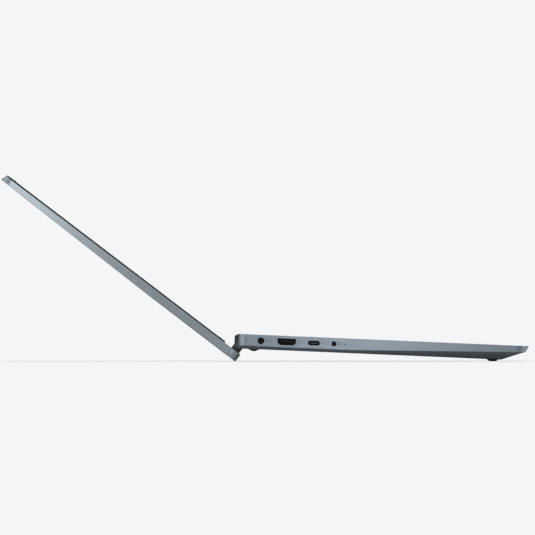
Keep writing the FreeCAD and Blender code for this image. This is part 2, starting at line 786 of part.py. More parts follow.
save("lid_cover", make_lid_cover(), on_lid=True)
save("screen_bezel", make_bezel(), on_lid=True)
save("display_panel", make_panel(), on_lid=True)
save("webcam_module", make_webcam(), on_lid=True)
save("webcam_shutter", make_shutter(), on_lid=True)
save("display_cable", make_display_cable(), on_lid=True)
save("lid_bumpers", make_bumpers(), on_lid=True)
save("lid_magnets", make_magnets(), on_lid=True)

print("lean %.4f degrees, hinge axis at y %.4f z %.4f" % (lean, depth_shift, lift))
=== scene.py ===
import json
import math
import bmesh
import bpy
import numpy as np
from mathutils.bvhtree import BVHTree
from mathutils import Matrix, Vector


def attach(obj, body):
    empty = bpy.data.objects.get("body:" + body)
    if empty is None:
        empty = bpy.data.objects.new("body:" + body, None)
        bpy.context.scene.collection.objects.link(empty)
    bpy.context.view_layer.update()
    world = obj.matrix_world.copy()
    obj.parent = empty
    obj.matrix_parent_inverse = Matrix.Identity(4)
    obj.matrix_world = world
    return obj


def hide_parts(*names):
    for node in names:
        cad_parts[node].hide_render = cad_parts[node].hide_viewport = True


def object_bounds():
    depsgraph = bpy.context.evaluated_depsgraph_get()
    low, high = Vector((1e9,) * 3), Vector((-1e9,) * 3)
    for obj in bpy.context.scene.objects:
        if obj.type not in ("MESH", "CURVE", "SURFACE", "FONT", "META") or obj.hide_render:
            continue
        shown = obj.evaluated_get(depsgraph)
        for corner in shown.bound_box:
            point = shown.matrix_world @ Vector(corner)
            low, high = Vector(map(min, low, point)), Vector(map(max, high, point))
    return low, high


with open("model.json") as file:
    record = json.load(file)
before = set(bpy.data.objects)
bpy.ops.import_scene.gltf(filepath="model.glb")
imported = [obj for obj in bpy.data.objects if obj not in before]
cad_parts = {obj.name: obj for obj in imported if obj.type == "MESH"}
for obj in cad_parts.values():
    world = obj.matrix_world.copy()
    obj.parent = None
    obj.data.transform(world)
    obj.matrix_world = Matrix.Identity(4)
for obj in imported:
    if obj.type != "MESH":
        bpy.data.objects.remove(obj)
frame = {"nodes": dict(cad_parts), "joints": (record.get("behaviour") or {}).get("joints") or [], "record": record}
cadLow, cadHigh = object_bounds()
nodes = frame["nodes"]
jointNamed = {joint["name"]: joint for joint in frame["joints"]}
slotOfNode = {row["node"]: row["material_slot"] for row in frame["record"]["subparts"]}
bodies = frame["record"]["behaviour"]["bodies"]
bodyOfNode = {node: body for body, members in bodies.items() for node in members}
mm = 0.001
print("frame loaded:", len(nodes), "nodes")

# Every piece is worked out in the bench frame: hinge axis at the origin, base level, lid shut.
# The lean of the machine and the swing of the lid are read back from the joints.
lidHinge = jointNamed["lid_hinge"]
keyPress = jointNamed["space_bar_press"]
leanAngle = math.atan2(keyPress["axis"][1], -keyPress["axis"][2])
swingAngle = math.radians(lidHinge["range_deg"][0])
hingePoint = np.array(lidHinge["pos_m"])


def turnAboutX(angle):
    # rows of [1 0 0], [0 cos -sin], [0 sin cos]
    c, s = math.cos(angle), math.sin(angle)
    return np.array([[1, 0, 0], [0, c, -s], [0, s, c]])


benchTurn = {"base": turnAboutX(leanAngle), "lid": turnAboutX(leanAngle + swingAngle)}
lidBodies = ("lid", "shutter")


def sideOf(body):
    return "lid" if body in lidBodies else "base"


def toRow(points, body):
    # standing place = turn * bench place + hinge point
    return np.asarray(points, float) @ benchTurn[sideOf(body)].T + hingePoint


def benchPoints(node):
    mesh = nodes[node].data
    co = np.empty(len(mesh.vertices) * 3)
    mesh.vertices.foreach_get("co", co)
    return (co.reshape(-1, 3) - hingePoint) @ benchTurn[sideOf(bodyOfNode[node])]


def benchBox(node):
    co = benchPoints(node)
    return co.min(0), co.max(0)


def boxMiddle(node):
    low, high = benchBox(node)
    return (low + high) / 2


# Camera, floor and the soft room round the machine.

stageLook = {
    "distance": 18.0,           # camera to the near side of the machine
    "eyeHeight": 0.0129,
    "eyeBehindHinge": 0.0089,
    "aimHeight": 0.0741,
    "aimDepth": -0.0019,
    "viewWidth": 0.42265,       # what the frame covers at the near side
    "sensor": 36.0,
    "backColor": (0.9047, 0.9131, 0.9301),
    "floorSize": 60.0,
    "floorWhite": 0.985,
    "horizonLevel": 0.16,       # how bright the room is at eye level, the top being 1
    "rise": 0.8,                # how soon it brightens upwards
}
roomPatches = {
    # name: (degrees from the left side towards the rear, degrees up, tightness, strength)
    "rearBox": (50, 4, 40.0, 2.3),
    "sideFlag": (-36, 4, 20.0, -0.3),
    "frontBox": (-80, 5, 30.0, 2.0),
    "tipBox": (84, 36, 24.0, 1.3),
}


def makeCamera():
    look = stageLook
    data = bpy.data.cameras.new("sideCamera")
    camera = bpy.data.objects.new("sideCamera", data)
    bpy.context.collection.objects.link(camera)
    data.sensor_width = look["sensor"]
    data.lens = look["sensor"] * look["distance"] / look["viewWidth"]
    data.clip_start = 0.1
    data.clip_end = 100
    camera.location = (cadLow.x - look["distance"], hingePoint[1] + look["eyeBehindHinge"], look["eyeHeight"])
    aim = type(camera.location)((cadLow.x, look["aimDepth"], look["aimHeight"]))
    camera.rotation_euler = (aim - camera.location).to_track_quat("-Z", "Y").to_euler()
    bpy.context.scene.camera = camera


def patchDirection(bearing, up):
    bearing, up = math.radians(bearing), math.radians(up)
    return np.array([-math.cos(up) * math.cos(bearing), math.cos(up) * math.sin(bearing), math.sin(up)])


def roomLevel(direction):
    # level = horizon + (1 - horizon) * up^rise + sum of strength * max(0, direction . patch)^tightness
    look = stageLook
    up = np.clip(direction[..., 2], 0, 1)
    level = look["horizonLevel"] + (1 - look["horizonLevel"]) * up ** look["rise"]
    for bearing, rise, tightness, strength in roomPatches.values():
        facing = np.clip(direction @ patchDirection(bearing, rise), 0, 1)
        level = level + strength * facing ** tightness
    return np.clip(level, 0, None)


def floorShare():
    # mean of the room's level over the upper half, each direction weighted by its height
    up, bearing = np.meshgrid(np.radians(np.arange(0.5, 90)), np.radians(np.arange(0.5, 360)), indexing="ij")
    direction = np.stack([np.cos(up) * np.cos(bearing), np.cos(up) * np.sin(bearing), np.sin(up)], -1)
    weight = np.sin(up) * np.cos(up)
    return (roomLevel(direction) * weight).sum() / weight.sum()


def addNode(tree, kind, settings=None, **links):
    # links: input names, or i0, i1 for inputs by number
    node = tree.nodes.new(kind)
    for key, value in (settings or {}).items():
        setattr(node, key, value)
    for key, value in links.items():
        socket = node.inputs[int(key[1:])] if key[0] == "i" and key[1:].isdigit() else node.inputs[key]
        if isinstance(value, bpy.types.NodeSocket):
            tree.links.new(value, socket)
        else:
            socket.default_value = value
    return node


def mathNode(tree, operation, *values, clamp=False):
    links = {"i%d" % place: value for place, value in enumerate(values)}
    return addNode(tree, "ShaderNodeMath", {"operation": operation, "use_clamp": clamp}, **links).outputs[0]


def makeRoom():
    # The camera sees an even backdrop; the machine and the floor are lit by the graded room.
    look = stageLook
    world = bpy.data.worlds.new("paleRoom")
    world.use_nodes = True
    tree = world.node_tree
    direction = addNode(tree, "ShaderNodeTexCoord").outputs["Generated"]
    height = addNode(tree, "ShaderNodeSeparateXYZ", {}, Vector=direction).outputs["Z"]
    up = mathNode(tree, "MAXIMUM", height, 0.0)
    level = mathNode(tree, "MULTIPLY_ADD", mathNode(tree, "POWER", up, look["rise"]),
                     1 - look["horizonLevel"], look["horizonLevel"])
    for bearing, rise, tightness, strength in roomPatches.values():
        facing = addNode(tree, "ShaderNodeVectorMath", {"operation": "DOT_PRODUCT"}, i0=direction,
                         i1=tuple(patchDirection(bearing, rise))).outputs["Value"]
        lobe = mathNode(tree, "POWER", mathNode(tree, "MAXIMUM", facing, 0.0), tightness)
        level = mathNode(tree, "MULTIPLY_ADD", lobe, strength, level)
    gain = 1 / (look["floorWhite"] * floorShare())
    level = mathNode(tree, "MAXIMUM", level, 0.0)
    tint = tuple(channel * gain for channel in look["backColor"])
    graded = addNode(tree, "ShaderNodeVectorMath", {"operation": "SCALE"}, i0=tint, Scale=level).outputs[0]
    seen = addNode(tree, "ShaderNodeLightPath").outputs["Is Camera Ray"]
    color = addNode(tree, "ShaderNodeMix", {"data_type": "RGBA"}, i0=seen, i6=graded,
                    i7=(*look["backColor"], 1)).outputs[2]
    tree.links.new(color, tree.nodes["Background"].inputs["Color"])
    bpy.context.scene.world = world


def makeFloor():
    half = stageLook["floorSize"] / 2
    mesh = bpy.data.meshes.new("floor")
    corners = [(-half, -half, 0), (half, -half, 0), (half, half, 0), (-half, half, 0)]
    mesh.from_pydata(corners, [], [(0, 1, 2, 3)])
    floor = bpy.data.objects.new("floor", mesh)
    bpy.context.collection.objects.link(floor)
    material = bpy.data.materials.new("paleFloor")
    material.use_nodes = True
    shader = material.node_tree.nodes["Principled BSDF"]
    shader.inputs["Base Color"].default_value = (*[stageLook["floorWhite"]] * 3, 1)
    shader.inputs["Roughness"].default_value = 1.0
    shader.inputs["Specular IOR Level"].default_value = 0.0
    mesh.materials.append(material)
    return floor


softLights = {
    # name: (place, aim, size, watts)
    "sideLamp": ((-0.55, -0.080, 0.08), (-0.18, -0.080, 0.02), (0.12, 0.12), 0.14),
    "lidLamp": ((-0.55, 0.21, 0.17), (-0.18, 0.18, 0.14), (0.14, 0.14), 0.21),
    "topBox": ((-0.1, 0.1, 1.6), (0, 0, 0.05), (1.2, 1.2), 2.0),
}


def makeLights(floor):
    # The lamps skip the floor, which the room alone keeps the colour of the backdrop.
    skipped = bpy.data.collections.new("unlitByLamps")
    skipped.objects.link(floor)
    skipped.collection_objects[0].light_linking.link_state = "EXCLUDE"
    for name, (place, aim, size, watts) in softLights.items():
        data = bpy.data.lights.new(name, "AREA")
        data.shape = "RECTANGLE"
        data.size, data.size_y = size
        data.energy = watts
        lamp = bpy.data.objects.new(name, data)
        bpy.context.collection.objects.link(lamp)
        lamp.location = place
        direction = type(lamp.location)(aim) - lamp.location
        lamp.rotation_euler = direction.to_track_quat("-Z", "Y").to_euler()
        lamp.light_linking.receiver_collection = skipped
        lamp.visible_camera = False


bpy.context.scene.view_settings.view_transform = "Standard"
makeCamera()
makeRoom()
makeLights(makeFloor())
print("camera, room, floor and lights ready")


# Surface effects that the materials share.

def newGroup(name, inputs, outputs):
    group = bpy.data.node_groups.new(name, "ShaderNodeTree")
    for label, kind, value in inputs:
        socket = group.interface.new_socket(name=label, in_out="INPUT", socket_type=kind)
        socket.default_value = value
    for label, kind in outputs:
        group.interface.new_socket(name=label, in_out="OUTPUT", socket_type=kind)
    return group, group.nodes.new("NodeGroupInput"), group.nodes.new("NodeGroupOutput")


def makeGrainGroup():
    # Fine blasted grain: a colour that wanders with two sizes of noise, and its height.
    group, inlet, outlet = newGroup(
        "blastedGrain",
        [("Color", "NodeSocketColor", (0.5, 0.5, 0.5, 1)), ("Grain Size", "NodeSocketFloat", 0.0002),
         ("Grain Depth", "NodeSocketFloat", 0.1), ("Cloud Depth", "NodeSocketFloat", 0.05),
         ("Roughness", "NodeSocketFloat", 0.4)],
        [("Color", "NodeSocketColor"), ("Roughness", "NodeSocketFloat"), ("Height", "NodeSocketFloat")])
    place = addNode(group, "ShaderNodeTexCoord").outputs["Object"]
    scale = mathNode(group, "DIVIDE", 1.0, inlet.outputs["Grain Size"])
    grain = addNode(group, "ShaderNodeTexNoise", {}, Vector=place, Scale=scale, Detail=2.0, Roughness=0.6)
    cloud = addNode(group, "ShaderNodeTexNoise", {}, Vector=place, Scale=14.0, Detail=3.0, Roughness=0.5)
    grainPart = mathNode(group, "MULTIPLY", mathNode(group, "SUBTRACT", grain.outputs["Fac"], 0.5),
                         inlet.outputs["Grain Depth"])
    cloudPart = mathNode(group, "MULTIPLY", mathNode(group, "SUBTRACT", cloud.outputs["Fac"], 0.5),
                         inlet.outputs["Cloud Depth"])
    total = mathNode(group, "ADD", grainPart, cloudPart)
    tinted = addNode(group, "ShaderNodeVectorMath", {"operation": "SCALE"},
                     i0=inlet.outputs["Color"], Scale=mathNode(group, "ADD", total, 1.0))
    group.links.new(tinted.outputs[0], outlet.inputs["Color"])
    group.links.new(mathNode(group, "ADD", inlet.outputs["Roughness"], total), outlet.inputs["Roughness"])
    group.links.new(grain.outputs["Fac"], outlet.inputs["Height"])
    return group


def makeDustGroup():
    # Dust lies on what faces up, in patches: amount = facing up^3 * patchy noise * Amount.
    group, inlet, outlet = newGroup(
        "settledDust",
        [("Color", "NodeSocketColor", (0.5, 0.5, 0.5, 1)), ("Roughness", "NodeSocketFloat", 0.4),
         ("Amount", "NodeSocketFloat", 0.05)],
        [("Color", "NodeSocketColor"), ("Roughness", "NodeSocketFloat")])
    normal = addNode(group, "ShaderNodeNewGeometry").outputs["Normal"]
    height = addNode(group, "ShaderNodeSeparateXYZ", {}, Vector=normal).outputs["Z"]
    facing = mathNode(group, "POWER", mathNode(group, "MAXIMUM", height, 0.0), 3.0)
    place = addNode(group, "ShaderNodeTexCoord").outputs["Object"]
    fleck = addNode(group, "ShaderNodeTexNoise", {}, Vector=place, Scale=900.0, Detail=4.0, Roughness=0.7)
    patch = addNode(group, "ShaderNodeTexNoise", {}, Vector=place, Scale=30.0, Detail=2.0, Roughness=0.5)
    flecks = mathNode(group, "MULTIPLY", fleck.outputs["Fac"], patch.outputs["Fac"])
    amount = mathNode(group, "MULTIPLY", mathNode(group, "MULTIPLY", flecks, facing),
                      mathNode(group, "MULTIPLY", inlet.outputs["Amount"], 4.0), clamp=True)
    color = addNode(group, "ShaderNodeMix", {"data_type": "RGBA"}, i0=amount, i6=inlet.outputs["Color"],
                    i7=(0.35, 0.34, 0.32, 1)).outputs[2]
    rough = addNode(group, "ShaderNodeMix", {}, i0=amount, i2=inlet.outputs["Roughness"], i3=0.9).outputs[0]
    group.links.new(color, outlet.inputs["Color"])
    group.links.new(rough, outlet.inputs["Roughness"])
    return group


def makeBoardGroup():
    # Circuit board: paler tracks along a fine brick pattern, and round solder spots.
    group, inlet, outlet = newGroup(
        "boardTracks",
        [("Color", "NodeSocketColor", (0.02, 0.08, 0.05, 1)),
         ("Track Color", "NodeSocketColor", (0.05, 0.2, 0.1, 1))],
        [("Color", "NodeSocketColor"), ("Metal", "NodeSocketFloat"), ("Height", "NodeSocketFloat")])
    place = addNode(group, "ShaderNodeTexCoord").outputs["Object"]
    brick = addNode(group, "ShaderNodeTexBrick", {"offset": 0.35}, Vector=place, Color1=(0, 0, 0, 1),
                    Color2=(0.2, 0.2, 0.2, 1), Mortar=(1, 1, 1, 1), Scale=120.0, **{"Mortar Size": 0.03})
    track = mathNode(group, "GREATER_THAN", brick.outputs["Color"], 0.5)
    spot = addNode(group, "ShaderNodeTexVoronoi", {}, Vector=place, Scale=260.0)
    solder = mathNode(group, "LESS_THAN", spot.outputs["Distance"], 0.22)
    tracked = addNode(group, "ShaderNodeMix", {"data_type": "RGBA"}, i0=track, i6=inlet.outputs["Color"],
                      i7=inlet.outputs["Track Color"]).outputs[2]
    soldered = addNode(group, "ShaderNodeMix", {"data_type": "RGBA"}, i0=solder, i6=tracked,
                       i7=(0.5, 0.5, 0.48, 1)).outputs[2]
    group.links.new(soldered, outlet.inputs["Color"])
    group.links.new(solder, outlet.inputs["Metal"])
    group.links.new(mathNode(group, "ADD", track, solder), outlet.inputs["Height"])
    return group


grainGroup = makeGrainGroup()
dustGroup = makeDustGroup()
boardGroup = makeBoardGroup()


def placeGroup(tree, group, **values):
    node = addNode(tree, "ShaderNodeGroup", {"node_tree": group})
    for label, value in values.items():
        socket = node.inputs[label.replace("_", " ")]
        if isinstance(value, bpy.types.NodeSocket):
            tree.links.new(value, socket)
        else:
            socket.default_value = (*value, 1) if socket.type == "RGBA" else value
    return node


reliefDepth = 0.05 * mm


def makeMaterial(name, color, roughness, metallic=0.0, grain=0.0002, grainDepth=0.12, cloud=0.06,
                 bump=0.15, dust=0.02, coat=0.0, gloss=0.5):
    material = bpy.data.materials.new(name)
    material.use_nodes = True
    tree = material.node_tree
    shader = tree.nodes["Principled BSDF"]
    effect = placeGroup(tree, grainGroup, Color=color, Grain_Size=grain, Grain_Depth=grainDepth,
                        Cloud_Depth=cloud, Roughness=roughness)
    dusty = placeGroup(tree, dustGroup, Color=effect.outputs["Color"], Roughness=effect.outputs["Roughness"],
                       Amount=dust)
    relief = addNode(tree, "ShaderNodeBump", {}, Height=effect.outputs["Height"], Strength=bump,
                     Distance=reliefDepth)
    tree.links.new(dusty.outputs["Color"], shader.inputs["Base Color"])
    tree.links.new(dusty.outputs["Roughness"], shader.inputs["Roughness"])
    tree.links.new(relief.outputs["Normal"], shader.inputs["Normal"])
    shader.inputs["Metallic"].default_value = metallic
    shader.inputs["Coat Weight"].default_value = coat
    shader.inputs["Specular IOR Level"].default_value = gloss
    return material


boardLook = {"color": (0.012, 0.05, 0.035), "track": (0.03, 0.12, 0.07), "bump": 0.3, "roughness": 0.4}


def makeBoardMaterial(name):
    look = boardLook
    material = bpy.data.materials.new(name)
    material.use_nodes = True
    tree = material.node_tree
    shader = tree.nodes["Principled BSDF"]
    effect = placeGroup(tree, boardGroup, Color=look["color"], Track_Color=look["track"])
    relief = addNode(tree, "ShaderNodeBump", {}, Height=effect.outputs["Height"], Strength=look["bump"],
                     Distance=reliefDepth)
    tree.links.new(effect.outputs["Color"], shader.inputs["Base Color"])
    tree.links.new(effect.outputs["Metal"], shader.inputs["Metallic"])
    tree.links.new(relief.outputs["Normal"], shader.inputs["Normal"])
    shader.inputs["Roughness"].default_value = look["roughness"]
    return material


finishes = {
    "case_metal": dict(color=(0.205, 0.243, 0.278), roughness=0.33, metallic=0.9),
    "lid_metal": dict(color=(0.24, 0.277, 0.298), roughness=0.33, metallic=0.9, grainDepth=0.06, bump=0.08),
    "cover_plastic": dict(color=(0.055, 0.068, 0.078), roughness=0.55, grain=0.0004, bump=0.4),
    # The hinge cover's dark grey is partly painted shade: it copies how the shaded gap between base and lid looks.
    "hinge_plastic": dict(color=(0.06, 0.077, 0.086), roughness=0.45),
    "bezel_plastic": dict(color=(0.004, 0.005, 0.006), roughness=0.55, gloss=0.12),
    "screen_face": dict(color=(0.004, 0.005, 0.006), roughness=0.32, dust=0.01, gloss=0.3),
    "key_plastic": dict(color=(0.022, 0.026, 0.03), roughness=0.5, grain=0.0003, bump=0.3, gloss=0.35),
    "web_plastic": dict(color=(0.1, 0.12, 0.135), roughness=0.5),
    "touchpad_face": dict(color=(0.17, 0.203, 0.232), roughness=0.35, bump=0.08),
    "foot_rubber": dict(color=(0.1, 0.115, 0.125), roughness=0.8, grain=0.0006, bump=0.5),
    "hinge_steel": dict(color=(0.45, 0.46, 0.47), roughness=0.35, metallic=1.0),
    "screw_steel": dict(color=(0.12, 0.12, 0.13), roughness=0.35, metallic=1.0),
    "plate_steel": dict(color=(0.4, 0.41, 0.42), roughness=0.4, metallic=1.0),
    "socket_shell": dict(color=(0.006, 0.007, 0.009), roughness=0.5, gloss=0.25),
    "chip_plastic": dict(color=(0.015, 0.015, 0.016), roughness=0.5),
    "copper": dict(color=(0.72, 0.36, 0.2), roughness=0.3, metallic=1.0),
    "heatsink_metal": dict(color=(0.65, 0.65, 0.66), roughness=0.35, metallic=1.0),
    "cell_wrap": dict(color=(0.02, 0.02, 0.022), roughness=0.35),
    "fan_plastic": dict(color=(0.015, 0.015, 0.017), roughness=0.4),
    "film": dict(color=(0.5, 0.5, 0.45), roughness=0.4),
    "light_lens": dict(color=(0.05, 0.06, 0.07), roughness=0.2, coat=0.6),
    "magnet_plating": dict(color=(0.6, 0.6, 0.6), roughness=0.2, metallic=1.0),
    # finishes of the small pieces that only scene.py makes
    "legendInk": dict(color=(0.5, 0.54, 0.57), roughness=0.6, bump=0.05),
    "sideInk": dict(color=(0.09, 0.13, 0.17), roughness=0.5, bump=0.05),
    "contactGold": dict(color=(0.095, 0.085, 0.07), roughness=0.35, metallic=1.0),
    "jackSteel": dict(color=(0.05, 0.055, 0.065), roughness=0.3, metallic=1.0),
    "tongueGrey": dict(color=(0.09, 0.1, 0.11), roughness=0.5),
    "lensGlass": dict(color=(0.01, 0.012, 0.03), roughness=0.08, dust=0.0, bump=0.0, coat=1.0),
    "activeArea": dict(color=(0.003, 0.0035, 0.005), roughness=0.26, grain=0.0001, bump=0.08, gloss=0.35,
                       dust=0.01),
    "brightEdge": dict(color=(0.55, 0.6, 0.64), roughness=0.2, metallic=1.0),
    # near-black colour for discs that paint in the shade inside the microphone holes
    "pinholeShade": dict(color=(0.003, 0.003, 0.003), roughness=0.9),
}
materials = {slot: makeMaterial(slot, **look) for slot, look in finishes.items()}
materials["board_laminate"] = makeBoardMaterial("board_laminate")
print("materials ready:", len(materials))


# CAD pieces whose shape is right: merged copies with their edges rounded.

def smoothByAngle(mesh, degrees=35.0):
    mesh.shade_smooth()
    mesh.set_sharp_from_angle(angle=math.radians(degrees))


easeLook = {
    "sharpOver": 30.0,          # degrees between two faces from which their edge is rounded
    "weld": 0.002 * mm,
    "wallDepth": 2.0 * mm,      # this close to the widest place, an edge belongs to a side wall
    "openingLow": -1.2 * mm,    # openings in the side walls lie above this height
    "openingFront": -0.1,       # and behind this depth
    "segments": 2,
    "strayShare": 0.5,          # a corner this share of the ease off the skin is a stray
}


def easedCopy(node, ease, crispBelow=0.0):
    # Sharp edges are rounded, but those of openings cut in the side walls stay crisp: crispBelow is
    # the height under which an edge on a side wall counts as the edge of an opening.
    look = easeLook
    mesh = nodes[node].data.copy()
    mesh.materials.clear()
    work = bmesh.new()
    work.from_mesh(mesh)
    bmesh.ops.remove_doubles(work, verts=work.verts, dist=look["weld"])
    weight = work.edges.layers.float.new("bevel_weight_edge")
    middles = np.array([(edge.verts[0].co + edge.verts[1].co) / 2 for edge in work.edges])
    middles = (middles - hingePoint) @ benchTurn[sideOf(bodyOfNode[node])]
    x, y, z = middles.T
    opening = (abs(x) > cadHigh.x - look["wallDepth"]) & (y > look["openingFront"])
    opening &= (z < crispBelow) & (z > look["openingLow"])
    for edge, isOpening in zip(work.edges, opening):
        if not isOpening and edge.calc_face_angle(0.0) > math.radians(look["sharpOver"]):
            edge[weight] = 1.0
    skin = BVHTree.FromBMesh(work)
    work.to_mesh(mesh)
    work.free()
    piece = bpy.data.objects.new(node + "_eased", mesh)
    bpy.context.collection.objects.link(piece)
    mesh.materials.append(materials[slotOfNode[node]])
    smoothByAngle(mesh)
    bevel = piece.modifiers.new("ease", "BEVEL")
    bevel.width = ease
    bevel.segments = look["segments"]
    bevel.limit_method = "WEIGHT"
    bevel.use_clamp_overlap = False
    bevel.miter_outer = "MITER_ARC"
    bevel.loop_slide = False
    deps = bpy.context.evaluated_depsgraph_get()
    rounded = bpy.data.meshes.new_from_object(piece.evaluated_get(deps))
    piece.modifiers.clear()
    piece.data = rounded
    strays = 0     # corners that the rounding throws off the part come back to its skin
    for corner in rounded.vertices:
        nearest, _, _, away = skin.find_nearest(corner.co)
        if away > look["strayShare"] * ease:
            corner.co = nearest
            strays += 1
    print(node, "eased,", strays, "corners brought back")
    flats = piece.modifiers.new("flats", "WEIGHTED_NORMAL")   # keeps the flat faces looking flat
    flats.keep_sharp = True
    flats.weight = 100
    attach(piece, bodyOfNode[node])
    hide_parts(node)


easedNodes = {
    "top_case": dict(ease=0.35 * mm, crispBelow=5.0 * mm),
    "bottom_cover": dict(ease=0.3 * mm),
    "lid_cover": dict(ease=0.4 * mm),
    "screen_bezel": dict(ease=0.2 * mm),
    "hinge_cover": dict(ease=0.2 * mm),
    "front_feet": dict(ease=0.3 * mm),
    "rear_foot": dict(ease=0.3 * mm),
    "touchpad": dict(ease=0.1 * mm),
}
for node, look in easedNodes.items():
    easedCopy(node, **look)
for node, piece in nodes.items():
    piece.data.materials.clear()
    piece.data.materials.append(materials[slotOfNode[node]])
print("eased pieces ready:", len(easedNodes))


# New pieces are surfaces worked out as whole arrays.

def closedShell(rings):
    # Rings of points joined by quads; the first and the last ring are each closed by a fan to their middle.
    count, around = rings.shape[:2]
    points = np.concatenate([rings.reshape(-1, 3), rings[:1].mean(1), rings[-1:].mean(1)])
    grid = np.meshgrid(np.arange(count - 1), np.arange(around), indexing="ij")
    row, column = (part.ravel() for part in grid)
    after = (column + 1) % around
    quads = np.stack([row * around + column, row * around + after,
                      (row + 1) * around + after, (row + 1) * around + column], 1)
    step = np.arange(around)
    after = (step + 1) % around
    last = (count - 1) * around
    startFan = np.stack([after, step, np.full(around, count * around)], 1)
    endFan = np.stack([last + step, last + after, np.full(around, count * around + 1)], 1)
    return points, quads.tolist() + startFan.tolist() + endFan.tolist()


def closedLoop(sections):
    # Closed sections carried round a closed path and joined back to the first.
    around, across = sections.shape[:2]
    grid = np.meshgrid(np.arange(around), np.arange(across), indexing="ij")
    i, j = (part.ravel() for part in grid)
    nextI, nextJ = (i + 1) % around, (j + 1) % across
    faces = np.stack([i * across + j, nextI * across + j, nextI * across + nextJ, i * across + nextJ], 1)
    return sections.reshape(-1, 3), faces.tolist()


def roundedOutline(halfX, halfY, radius, steps=4):
    # Corner k turns from 90k to 90k + 90 degrees about its own centre: centre + radius * (cos, sin).
    angle = np.radians(np.linspace(0, 90, steps + 1)[None, :] + 90 * np.arange(4)[:, None])
    x = np.array([1, -1, -1, 1])[:, None] * (halfX - radius) + radius * np.cos(angle)
    y = np.array([1, 1, -1, -1])[:, None] * (halfY - radius) + radius * np.sin(angle)
    return np.stack([x.ravel(), y.ravel()], 1)


def arc(centreX, centreY, radius, start, end, steps=10):
    # centre + radius * (cos, sin) from start to end degrees
    angle = np.radians(np.linspace(start, end, steps + 1))
    return np.stack([centreX + radius * np.cos(angle), centreY + radius * np.sin(angle)], 1)


def flatBand(path, width, low, high, closed):
    # A strip along a flat path: each point goes half the width to both sides, along the mean of the
    # two neighbouring runs' normals, stretched so that the strip keeps its width round a corner.
    path = np.asarray(path, float)
    runs = np.roll(path, -1, 0) - path
    if not closed:
        runs[-1] = runs[-2]
    runs = runs / np.linalg.norm(runs, axis=1, keepdims=True)
    before = np.roll(runs, 1, 0)
    if not closed:
        before[0] = runs[0]
    across = np.stack([-(runs + before)[:, 1], (runs + before)[:, 0]], 1)
    across = across / np.linalg.norm(across, axis=1, keepdims=True)
    stretch = 1 / np.clip((across * np.stack([-runs[:, 1], runs[:, 0]], 1)).sum(1), 0.4, 1)
    reach = across * (width / 2 * stretch)[:, None]
    corners = [(path + reach, low), (path + reach, high), (path - reach, high), (path - reach, low)]
    sections = np.stack([np.column_stack([place, np.full(len(path), level)]) for place, level in corners], 1)
    return closedLoop(sections) if closed else closedShell(sections)


def addPiece(name, parts, body, slot, finish=None, replaces=None, degrees=35.0):
    # parts: (bench points in metres, faces); the normals are made to point outwards
    points, faces, start = [], [], 0
    for partPoints, partFaces in parts:
        points.append(partPoints)
        faces += [[start + corner for corner in face] for face in partFaces]
        start += len(partPoints)
    mesh = bpy.data.meshes.new(name)
    mesh.from_pydata(toRow(np.concatenate(points), body).tolist(), [], faces)
    work = bmesh.new()
    work.from_mesh(mesh)
    bmesh.ops.recalc_face_normals(work, faces=work.faces)
    work.to_mesh(mesh)
    work.free()
    mesh.materials.append(materials[finish or slot])
    smoothByAngle(mesh, degrees)
    piece = bpy.data.objects.new(name, mesh)
    bpy.context.collection.objects.link(piece)
    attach(piece, body)
    if replaces:
        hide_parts(replaces)


# Keys: caps with a shallow dish, and their printed legends.

keyLook = {
    "cornerRadius": 1.2 * mm,
    # rings from the rim to the crest: inset and depth, mm
    "ease": [(0.0, 1.7), (0.0, 0.62), (0.06, 0.30), (0.16, 0.12), (0.30, 0.03), (0.42, 0.0)],
    "shares": [0.93, 0.82, 0.68, 0.52, 0.35, 0.17],     # inner rings, as shares of the crest
    "dish": 0.14 * mm,
    "rangeGap": 0.5 * mm,       # ends of neighbouring keys are further apart than this
}
legendLook = {
    "edgeGap": 2.0 * mm,
    "letter": 3.3 * mm,
    "pair": 2.7 * mm,
    "word": 2.4 * mm,
    "arrow": 1.1 * mm,
    "sink": 0.03 * mm,
    "proud": 0.04 * mm,
}
rowLegends = {
    "function_keys": "esc F1 F2 F3 F4 F5 F6 F7 F8 F9 F10 F11 F12 ins del home end pgup pgdn",
    "number_keys": "~\n` !\n1 @\n2 #\n3 $\n4 %\n5 ^\n6 &\n7 *\n8 (\n9 )\n0 _\n- +\n= back num / * -",
    "upper_keys": "tab Q W E R T Y U I O P {\n[ }\n] |\n\\ 7 8 9 +",
    "home_keys": "caps A S D F G H J K L :\n; \"\n' enter 4 5 6 =",
    "lower_keys": "shift Z X C V B N M <\n, >\n. ?\n/ shift 1 2 3 ent",
    "bottom_keys": "ctrl fn sys alt alt ctrl <left> <down> <up> <right> 0 . ent",
}
arrowTurns = {"<right>": 0, "<up>": 90, "<left>": 180, "<down>": 270}


def spans(values, gap):
    # Sorted values fall into groups: the first and second group are the two ends of the first key,
    # the third and fourth those of the next.
    values = np.unique(values)
    groups = np.split(values, np.flatnonzero(np.diff(values) > gap) + 1)
    ends = [(group[0], group[-1]) for group in groups]
    return [(left[0], right[1]) for left, right in zip(ends[0::2], ends[1::2])]


def keysOf(node):
    # Boxes of the separate keys of a row, by left edge and then from the front.
    points = benchPoints(node)
    boxes = []
    for left, right in spans(points[:, 0], keyLook["rangeGap"]):
        column = points[(points[:, 0] >= left) & (points[:, 0] <= right)]
        for front, rear in spans(column[:, 1], keyLook["rangeGap"]):
            boxes.append((np.array([left, front, points[:, 2].min()]),
                          np.array([right, rear, points[:, 2].max()])))
    return boxes


